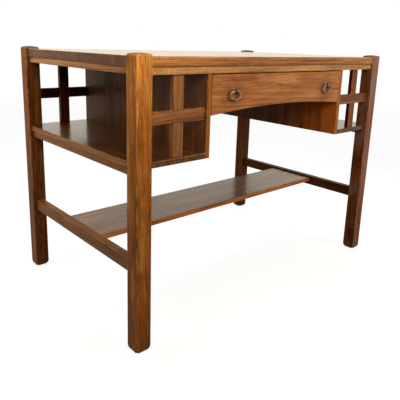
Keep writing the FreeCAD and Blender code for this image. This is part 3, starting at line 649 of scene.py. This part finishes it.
# %% Finishes of the plain wood
BARE = {"gloss": 0.0, "shine": 0.3, "matt": 0.55, "across_shades": ("#8c7250", "#a88c64")}
SIDE_SHADES = ("#927048", "#b39164", "#ccac80")
OAK["drawer_runner"] = stained_oak(
    "plain_oak_runners", "y", ("#8a6840", "#ab8a5c", "#c4a478"), pale_wood="#d0b48a", **BARE)
OAK["drawer_side"] = stained_oak(
    "plain_oak_drawer_sides", "y", SIDE_SHADES, pale_wood="#d8bc92", **BARE)
OAK["drawer_back"] = stained_oak(
    "plain_oak_drawer_back", "x", SIDE_SHADES, pale_wood="#d8bc92", **BARE)
OAK["drawer_bottom"] = stained_oak(
    "birch_plywood_bottom", "x", ("#b8946a", "#cdae84", "#dcc29c"),
    bands=0.3, pale_wood="#e2ccaa", **BARE)
for like in ("drawer_kicker", "drawer_stop", "top_buttons"):
    OAK[like] = OAK["drawer_runner"]
print("finishes of wood:", len(set(OAK.values())))

# %% [markdown]
# Some marks belong to one place. Painted shade lies along the foot of the top
# board's front edge, over its joint with the front rail, and the drawer's front is
# darker round its pulls. These could be separate materials on cut faces, but soft
# marks have no edge to cut along, so each is mixed over the finish that is already
# there.

# %% Painted shade over a joint, and darker wood round the pulls
JOINT_SHADE = "#5a3214"
JOINT_SHADE_WIDTH = 9 * MM
JOINT_SHADE_STRENGTH = 0.8
PULL_DARKENING = "#5e2c1a"
PULL_DARK_REACH = 60 * MM
PULL_DARK_STRENGTH = 0.9


def paint_over(finish, amount, shade):
    """Mixes a shade over a finish's colour, by an amount."""
    tree = finish.node_tree
    lacquer = next(node for node in tree.nodes if node.type == "BSDF_PRINCIPLED")
    colour = lacquer.inputs["Base Color"]
    over = add(tree, "Mix", {0: amount, 6: colour.links[0].from_socket, 7: linear(shade)},
               data_type="RGBA")
    tree.links.new(over.outputs[2], colour)


def painted_joint_shade(finish, height, width, shade):
    """Paints shade as a wandering dark strip above a height, over a joint."""
    tree = finish.node_tree
    spot = add(tree, "TexCoord").outputs["Object"]
    upward = add(tree, "SeparateXYZ", {"Vector": spot}).outputs[2]
    wander = add(tree, "TexNoise", {"Vector": spot, "Scale": 1 / BROAD_WIDTH, "Detail": 5.0})
    edge = add(tree, "Math", {0: wander.outputs["Fac"], 1: -width, 2: upward},
               operation="MULTIPLY_ADD")
    strip = add(tree, "MapRange", {"Value": edge.outputs[0], "From Min": height + width / 2,
                                   "From Max": height - width / 4, "To Max": JOINT_SHADE_STRENGTH})
    paint_over(finish, strip.outputs[0], shade)


def darken_round_pulls(finish, hubs, reach, shade):
    """Darkens the wood around each pull, unevenly."""
    tree = finish.node_tree
    spot = add(tree, "TexCoord").outputs["Object"]
    uneven = add(tree, "TexNoise", {"Vector": spot, "Scale": 1 / BROAD_WIDTH, "Detail": 4.0})
    for hub in hubs:
        arm = add(tree, "VectorMath", {0: spot, 1: hub}, operation="DISTANCE")
        near = add(tree, "MapRange", {"Value": arm.outputs["Value"], "From Min": reach,
                                      "From Max": reach / 4, "To Max": PULL_DARK_STRENGTH})
        amount = add(tree, "Math", {0: near.outputs[0], 1: uneven.outputs["Fac"]},
                     operation="MULTIPLY")
        paint_over(finish, amount.outputs[0], shade)


# Painted shade along the foot of the top board's front edge, over its joint with the rail
painted_joint_shade(OAK["top_board"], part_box("top_board")[0].z, JOINT_SHADE_WIDTH, JOINT_SHADE)
ring_boxes = [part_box(f"pull_ring_{side}") for side in ("left", "right")]
ring_middles = [(low + high) / 2 for low, high in ring_boxes]
darken_round_pulls(OAK["drawer_front"], ring_middles, PULL_DARK_REACH, PULL_DARKENING)
print("painted shade over one joint, and darker wood round", len(ring_middles), "pulls")

# %% [markdown]
# A painted highlight brightens the near post's front beside its arris, in a gold
# strip that widens as it climbs. The strip's edge wanders with a noise that is drawn
# out along the post, and the same noise breaks it up, or it would look like a painted
# line. Only faces that look to the front take it.

# %% Painted highlight on the near post
HIGHLIGHT_GOLD = "#ec9c40"
HIGHLIGHT_HEIGHTS = (580 * MM, 740 * MM)
HIGHLIGHT_WIDTHS = (1 * MM, 20 * MM)
HIGHLIGHT_LENGTH_SHARE = 0.15
HIGHLIGHT_WANDER = 1.6
HIGHLIGHT_EDGE = {"From Min": 1.7, "From Max": 0.9, "To Max": 0.8}
FRONT_TURN = {"From Min": -0.2, "From Max": -0.7}
PATCHES = {"From Min": 0.62, "From Max": 0.45, "To Min": 0.25}


def painted_highlight_strip(finish, arris, heights, widths, shade):
    """Paints a highlight on the front face beside an arris. The strip widens from the
    first width to the second as it climbs between the heights."""
    tree = finish.node_tree
    place = add(tree, "TexCoord").outputs
    across, _, upward = add(tree, "SeparateXYZ", {"Vector": place["Object"]}).outputs
    inward = add(tree, "Math", {0: across, 1: arris}, operation="SUBTRACT")
    width = add(tree, "MapRange", {"Value": upward, "From Min": heights[0],
                                   "From Max": heights[1], "To Min": widths[0],
                                   "To Max": widths[1]})
    share = add(tree, "Math", {0: inward.outputs[0], 1: width.outputs[0]}, operation="DIVIDE")
    tall = drawn_out(tree, place["Object"], HIGHLIGHT_LENGTH_SHARE)
    patchy = add(tree, "TexNoise", {"Vector": tall, "Scale": 1 / STREAK_WIDTH, "Detail": 4.0})
    edge = add(tree, "Math", {0: patchy.outputs["Fac"], 1: HIGHLIGHT_WANDER, 2: share.outputs[0]},
               operation="MULTIPLY_ADD")
    strip = add(tree, "MapRange", {"Value": edge.outputs[0], **HIGHLIGHT_EDGE})
    normal = add(tree, "SeparateXYZ", {"Vector": place["Normal"]})
    front = add(tree, "MapRange", {"Value": normal.outputs[1], **FRONT_TURN})
    broken = add(tree, "MapRange", {"Value": patchy.outputs["Fac"], **PATCHES})
    amount = strip.outputs[0]
    for part in (front, broken):
        amount = add(tree, "Math", {0: amount, 1: part.outputs[0]},
                     operation="MULTIPLY").outputs[0]
    paint_over(finish, amount, shade)


# The near post's front gets a painted highlight beside its arris
painted_highlight_strip(OAK["post_front_left"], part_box("post_front_left")[0].x, HIGHLIGHT_HEIGHTS,
              HIGHLIGHT_WIDTHS, HIGHLIGHT_GOLD)
print("painted highlight", HIGHLIGHT_WIDTHS[1] / MM, "mm wide at its top")

# %% [markdown]
# The finishes are ready, so each board gets its own. A solid's mesh is never
# changed, and only the material in its slot is.

# %% Dress the boards
def wear_finish(node, finish):
    """Puts a finish on the solid's own mesh."""
    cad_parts[node].data.materials.clear()
    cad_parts[node].data.materials.append(finish)


dressed = 0
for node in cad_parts:
    finish = next((OAK[start] for start in OAK if node.startswith(start)), None)
    if finish:
        wear_finish(node, finish)
        dressed += 1
print("boards with a finish of wood:", dressed)

# %% [markdown]
# The pulls are cast bronze, patinated brown, and greener on the eyes and rosettes,
# which fingers touch less. Cast metal isn't even, so its colour and roughness both
# follow one blotchy noise, and a fine grit makes the bump. Where fingers rub, the
# metal shines through, and that again is a Bevel lookup. The nuts and screws are
# old steel gone dull.

# %% Bronze and steel
BLOTCH_WIDTH = 3.846 * MM
GRIT_WIDTH = 0.7143 * MM
GRIT_DEPTH = 0.15 * MM
PATINA_STOPS = (0.35, 0.52, 0.72)
METAL_ARRIS = 0.9 * MM
METAL_TURN = {"From Min": 0.98, "From Max": 0.8}
UNEVEN_DULL = 0.15


def aged_metal(name, shades, rough, rub):
    """A cast metal with patina in its hollows and a rubbed glint on its arrises. Shades
    run dark, middle, bright."""
    material, tree = fresh(name)
    spot = add(tree, "TexCoord").outputs["Object"]
    blotch = add(tree, "TexNoise", {"Vector": spot, "Scale": 1 / BLOTCH_WIDTH,
                                    "Detail": 6.0, "Roughness": 0.6}).outputs["Fac"]
    patina = add(tree, "ValToRGB", {"Fac": blotch}, stops=list(zip(PATINA_STOPS, shades)))
    soft = add(tree, "Bevel", {"Radius": METAL_ARRIS}, samples=BEVEL_SAMPLES)
    flat = add(tree, "NewGeometry")
    same = add(tree, "VectorMath", {0: soft.outputs[0], 1: flat.outputs["Normal"]},
               operation="DOT_PRODUCT")
    rim = add(tree, "MapRange", {"Value": same.outputs["Value"], **METAL_TURN, "To Max": rub})
    colour = add(tree, "Mix", {0: rim.outputs[0], 6: patina.outputs[0],
                               7: linear(shades[2])}, data_type="RGBA")
    dull = add(tree, "MapRange", {"Value": blotch, "To Min": rough + UNEVEN_DULL,
                                  "To Max": rough - UNEVEN_DULL})
    grit = add(tree, "TexNoise", {"Vector": spot, "Scale": 1 / GRIT_WIDTH, "Detail": 3.0})
    bump = add(tree, "Bump", {"Height": grit.outputs["Fac"], "Strength": 0.2,
                              "Distance": GRIT_DEPTH})
    metal = add(tree, "BsdfPrincipled", {
        "Base Color": colour.outputs[2], "Metallic": 1.0, "Roughness": dull.outputs[0],
        "Normal": bump.outputs[0]})
    add(tree, "OutputMaterial", {"Surface": metal.outputs[0]})
    return material


ring_bronze = aged_metal("rubbed_brown_bronze", ("#4c382c", "#765848", "#ac907c"), 0.42, 0.45)
boss_bronze = aged_metal("green_brown_bronze", ("#3e3422", "#665a3e", "#8e8262"), 0.6, 0.35)
screw_steel = aged_metal("dull_old_steel", ("#4a4844", "#7a7872", "#a8a6a0"), 0.45, 0.3)
print("metals:", ring_bronze.name, boss_bronze.name, screw_steel.name)

# %% [markdown]
# Three small helpers serve every new piece. One closes a shell's seams and turns its
# faces outwards, which a spin leaves to chance. One moves a shell into another mesh,
# and one makes the mesh a piece that rides on a body and wears a material.

# %% Helpers for new pieces
def closed(mesh, apart):
    """Closes the seams of one shell and turns its faces outwards."""
    bmesh.ops.remove_doubles(mesh, verts=mesh.verts, dist=apart)
    bmesh.ops.recalc_face_normals(mesh, faces=mesh.faces)
    if mesh.calc_volume(signed=True) < 0:
        bmesh.ops.reverse_faces(mesh, faces=mesh.faces)
    return mesh


def merged(target, part):
    """Moves one mesh into another."""
    data = bpy.data.meshes.new("part")
    part.to_mesh(data)
    part.free()
    target.from_mesh(data)
    bpy.data.meshes.remove(data)


def finished(name, mesh, material, body, smooth=True):
    """Turns a bmesh into a piece that rides on a body and wears a material."""
    data = bpy.data.meshes.new(name)
    mesh.to_mesh(data)
    mesh.free()
    for face in data.polygons:
        face.use_smooth = smooth
    data.materials.append(material)
    piece = bpy.data.objects.new(name, data)
    bpy.context.scene.collection.objects.link(piece)
    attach(piece, body)
    print(name, "faces:", len(data.polygons))
    return piece


# %% [markdown]
# Each ring is an oval of round wire, bent in four arcs. A torus could be squeezed,
# but that would flatten the wire too. So the wire's section is a small circle, and
# four spins carry it round: the short ends about centres near the ring's sides, the
# long top and bottom about centres further off. The seam is closed by merging the
# first and last circles. The casting is stoutest at its two ends, which leaves the
# hole rounder than the outline, so last the inner side is drawn in there.

# %% Ring pulls
WIRE_SIDES = 20
END_STEPS = 14
SIDE_STEPS = 12
END_RADIUS = 10.5 * MM
SWELL = 0.9
RING_SEAM_SHARE = 0.02


def oval_ring(node):
    """The ring's mesh, sized by the box of its solid."""
    low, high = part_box(node)
    centre = (low + high) / 2
    wire = (high.y - low.y) / 2
    across = (high.x - low.x) / 2 - wire
    tall = (high.z - low.z) / 2 - wire
    reach = across - END_RADIUS
    flat = (reach ** 2 + tall ** 2 - END_RADIUS ** 2) / (2 * (tall - END_RADIUS))
    turn = math.atan2(flat - tall, reach)
    mesh = bmesh.new()
    start = (centre + Vector((reach, 0, 0))
             + Matrix.Rotation(turn, 3, "Y") @ Vector((END_RADIUS, 0, 0)))
    bmesh.ops.create_circle(mesh, segments=WIRE_SIDES, radius=wire)
    along = (start - centre - Vector((reach, 0, 0))).cross(Vector((0, 1, 0)))
    tilt = Vector((0, 0, 1)).rotation_difference(along).to_matrix().to_4x4()
    bmesh.ops.transform(mesh, matrix=Matrix.Translation(start) @ tilt, verts=mesh.verts)
    edge = list(mesh.edges)
    bends = [
        (Vector((reach, 0, 0)), 2 * turn, END_STEPS),
        (Vector((0, 0, tall - flat)), math.pi - 2 * turn, SIDE_STEPS),
        (Vector((-reach, 0, 0)), 2 * turn, END_STEPS),
        (Vector((0, 0, flat - tall)), math.pi - 2 * turn, SIDE_STEPS),
    ]
    for offset, angle, steps in bends:
        made = bmesh.ops.spin(mesh, geom=edge, cent=centre + offset, axis=(0, -1, 0),
                              angle=angle, steps=steps, use_duplicate=False)
        edge = [e for e in made["geom_last"] if isinstance(e, bmesh.types.BMEdge)]
    closed(mesh, wire * RING_SEAM_SHARE)
    for vert in mesh.verts:
        arm = (vert.co - centre) * Vector((1, 0, 1))
        way = arm.normalized()
        rim = 1 / math.hypot(way.x / (across + wire), way.z / (tall + wire))
        vert.co -= way * (rim - arm.length) * SWELL * way.x ** 2
    return mesh


for side in ("left", "right"):
    node = f"pull_ring_{side}"
    ring = finished(f"ring_{side}", oval_ring(node), ring_bronze, f"{side}_ring")
    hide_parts(node)

# %% [markdown]
# A rosette is turned on a lathe: a thin rim, a hollow, and a boss that the stud goes
# through. Its profile is drawn as a chain of points from the bore outwards, in
# millimetres, and spun a full circle, which is how the lathe makes it. The eye is a
# short fat bead, spun about its own bore, and its stud ends in a thread.

# %% Profiles of rosette, eye and stud
TURN_STEPS = 40
SEAM = 0.01 * MM
ROSETTE_PROFILE = [
    (2.3, 0.0), (9.2, 0.0), (9.5, 0.3), (9.5, 0.7), (9.2, 1.0), (8.6, 1.1), (8.1, 0.9),
    (7.6, 0.95), (6.8, 1.5), (5.8, 2.15), (4.9, 2.55), (4.0, 2.75), (3.2, 2.8), (2.3, 2.8),
]
EYE_PROFILE = [
    (2.5, 3.2), (2.5, 3.9), (2.2, 4.4), (1.5, 4.7), (0.6, 4.8), (-0.6, 4.8), (-1.5, 4.7),
    (-2.2, 4.4), (-2.5, 3.9), (-2.5, 3.2), (-2.2, 3.02), (0.0, 3.0), (2.2, 3.02),
]
STUD_RADIUS = 2.2 * MM
STUD_ROOT = 3.9 * MM
THREAD_DEPTH = 0.35 * MM
THREAD_PITCH = 0.9 * MM
THREAD_TURNS = 6


def spun(points, centre, axis):
    """The chain of points turned a full circle about the axis."""
    mesh = bmesh.new()
    verts = [mesh.verts.new(point) for point in points]
    edges = [mesh.edges.new(pair) for pair in zip(verts, verts[1:])]
    bmesh.ops.spin(mesh, geom=verts + edges, cent=centre, axis=axis,
                   angle=2 * math.pi, steps=TURN_STEPS, use_merge=True)
    return mesh


def stud_points(hub, root, tip):
    """The stud's outline from its root in the bead to its tip, with the thread's ridges."""
    crest, valley = STUD_RADIUS, STUD_RADIUS - THREAD_DEPTH
    thread_start = tip - THREAD_TURNS * THREAD_PITCH
    outline = [(0.0, root), (crest, root), (crest, thread_start)]
    for ridge in range(THREAD_TURNS):
        here = thread_start + ridge * THREAD_PITCH
        outline += [(valley, here + THREAD_PITCH / 3), (crest, here + THREAD_PITCH * 2 / 3)]
    outline += [(valley, tip), (0.0, tip)]
    return [Vector((hub.x + radius, y, hub.z)) for radius, y in outline]


print("thread", THREAD_TURNS * THREAD_PITCH / MM, "mm long")

# %% [markdown]
# Each pull's place comes from the box of its eye's solid. Both rosettes are one
# piece, as their solids are one node. A bead and its stud are two closed shells in
# one piece, because on a real pull they are cast together. The nuts keep their
# solids.

# %% Rosettes and eyes
rosettes = bmesh.new()
for side in ("left", "right"):
    low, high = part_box(f"pull_eye_{side}")
    hub = Vector(((low.x + high.x) / 2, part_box("drawer_front")[0].y, (low.z + high.z) / 2))
    outline = [hub + Vector((radius, -height, 0)) * MM for radius, height in ROSETTE_PROFILE]
    merged(rosettes, closed(spun(outline + outline[:1], hub, (0, 1, 0)), SEAM))

    # The eye's bead turns about the ring's wire, and its stud runs back into the drawer
    bead = Vector((hub.x, low.y + (high.z - low.z) / 2, hub.z))
    outline = [bead + Vector((x, 0, radius)) * MM for x, radius in EYE_PROFILE]
    eye = closed(spun(outline + outline[:1], bead, (1, 0, 0)), SEAM)
    stud = spun(stud_points(hub, bead.y + STUD_ROOT, high.y), hub, (0, 1, 0))
    merged(eye, closed(stud, SEAM))
    piece = finished(f"eye_{side}", eye, boss_bronze, "drawer")
    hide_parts(f"pull_eye_{side}")
piece = finished("rosettes", rosettes, boss_bronze, "drawer")
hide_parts("pull_rosettes")
wear_finish("pull_nuts", screw_steel)

# %% [markdown]
# Slotted wood screws hold what glue doesn't: the buttons under the top, the rails
# under the book shelves, the drawer's runners and kickers, and its loose bottom.
# Only the heads show, so only they are made. Each is a countersunk disc whose face
# two cuts divide, and the strip between the cuts is pushed in as the slot. That
# keeps the head one closed shell, which a boolean cut might not. In a group no two
# slots stop at the same angle.

# %% Slotted screw head
HEAD_RADIUS = 4.0 * MM
HEAD_TAPER = 0.8
HEAD_PROUD = 0.25 * MM
HEAD_SUNK = 1.6 * MM
HEAD_EASE = 0.3 * MM
HEAD_SIDES = 28
SLOT_HALF = 0.55 * MM
SLOT_DEPTH = 0.8 * MM
SLOT_TURN = math.radians(67)
FACES_UP = 0.3


def screw_head(place, way, turn):
    """A slotted head at a place on the wood, looking a way, its slot at a turn."""
    mesh = bmesh.new()
    made = bmesh.ops.create_cone(mesh, cap_ends=True, segments=HEAD_SIDES,
                                 radius1=HEAD_RADIUS * HEAD_TAPER, radius2=HEAD_RADIUS,
                                 depth=HEAD_PROUD + HEAD_SUNK)
    bmesh.ops.translate(mesh, vec=(0, 0, (HEAD_PROUD - HEAD_SUNK) / 2), verts=made["verts"])
    rim = [e for e in mesh.edges if min(v.co.z for v in e.verts) > HEAD_PROUD / 2]
    bmesh.ops.bevel(mesh, geom=rim, offset=HEAD_EASE, segments=2, profile=0.5,
                    affect="EDGES", material=-1)
    for side in (-1, 1):
        bmesh.ops.bisect_plane(mesh, geom=mesh.verts[:] + mesh.edges[:] + mesh.faces[:],
                               plane_co=(0, side * SLOT_HALF, 0), plane_no=(0, 1, 0))
    strip = [f for f in mesh.faces if f.normal.z > FACES_UP
             and all(abs(v.co.y) < SLOT_HALF + SEAM for v in f.verts)]
    sunk = bmesh.ops.extrude_face_region(mesh, geom=strip)
    bmesh.ops.delete(mesh, geom=strip, context="FACES")
    for part in sunk["geom"]:
        if isinstance(part, bmesh.types.BMVert):
            part.co.z = HEAD_PROUD - SLOT_DEPTH
    tilt = Vector((0, 0, 1)).rotation_difference(Vector(way)).to_matrix().to_4x4()
    spin = Matrix.Rotation(turn, 4, "Z")
    bmesh.ops.transform(mesh, matrix=Matrix.Translation(place) @ tilt @ spin, verts=mesh.verts)
    return closed(mesh, SEAM)


def screws(name, spots, body):
    """One piece of screw heads at spots, which are pairs of place and way."""
    heads = bmesh.new()
    for count, (place, way) in enumerate(spots):
        merged(heads, screw_head(Vector(place), way, count * SLOT_TURN))
    finished(name, heads, screw_steel, body, smooth=False)
    print(name, "heads:", len(spots))


def between(low, high, shares):
    """Values at shares of the way from low to high."""
    return [low + (high - low) * share for share in shares]


print("slots turn by", round(math.degrees(SLOT_TURN)), "degrees from screw to screw")

# %% [markdown]
# The screws' places follow the boards that they hold, so each group is worked out
# from those boards' boxes. The frame's screws stand still, and the ones in the
# drawer's bottom ride with the drawer.

# %% Screws in the frame and in the drawer
BUTTON_SPACING = 240 * MM
BUTTON_MIDDLE = 17 * MM
SHELF_SCREW_SHARES = (0.2, 0.8)
RUNNER_SCREW_SHARES = (0.1, 0.5, 0.9)
BOTTOM_SCREW_SHARES = (0.15, 0.5, 0.85)
DOWN = (0, 0, -1)

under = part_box("top_buttons")[0].z
back_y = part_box("top_rail_back")[0].y - BUTTON_MIDDLE
end_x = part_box("top_rail_right")[0].x - BUTTON_MIDDLE
spots = [((x, y, under), DOWN) for x in (-BUTTON_SPACING, 0, BUTTON_SPACING)
         for y in (back_y, -back_y)]
spots += [((x, 0, under), DOWN) for x in (-end_x, end_x)]
screws("button_screws", spots, "frame")

spots = []
for side in ("left", "right"):
    low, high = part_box(f"shelf_rail_{side}")
    spots += [(((low.x + high.x) / 2, y, low.z), DOWN)
              for y in between(low.y, high.y, SHELF_SCREW_SHARES)]
screws("shelf_screws", spots, "frame")

spots = []
for side, way in (("left", 1), ("right", -1)):
    for board in ("drawer_runner", "drawer_kicker"):
        low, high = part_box(f"{board}_{side}")
        x = high.x if way > 0 else low.x
        spots += [((x, y, (low.z + high.z) / 2), (way, 0, 0))
                  for y in between(low.y, high.y, RUNNER_SCREW_SHARES)]
screws("runner_screws", spots, "frame")

low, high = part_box("drawer_bottom")
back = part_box("drawer_back")
spots = [((x, (back[0].y + back[1].y) / 2, low.z), DOWN)
         for x in between(low.x, high.x, BOTTOM_SCREW_SHARES)]
screws("bottom_screws", spots, "drawer")
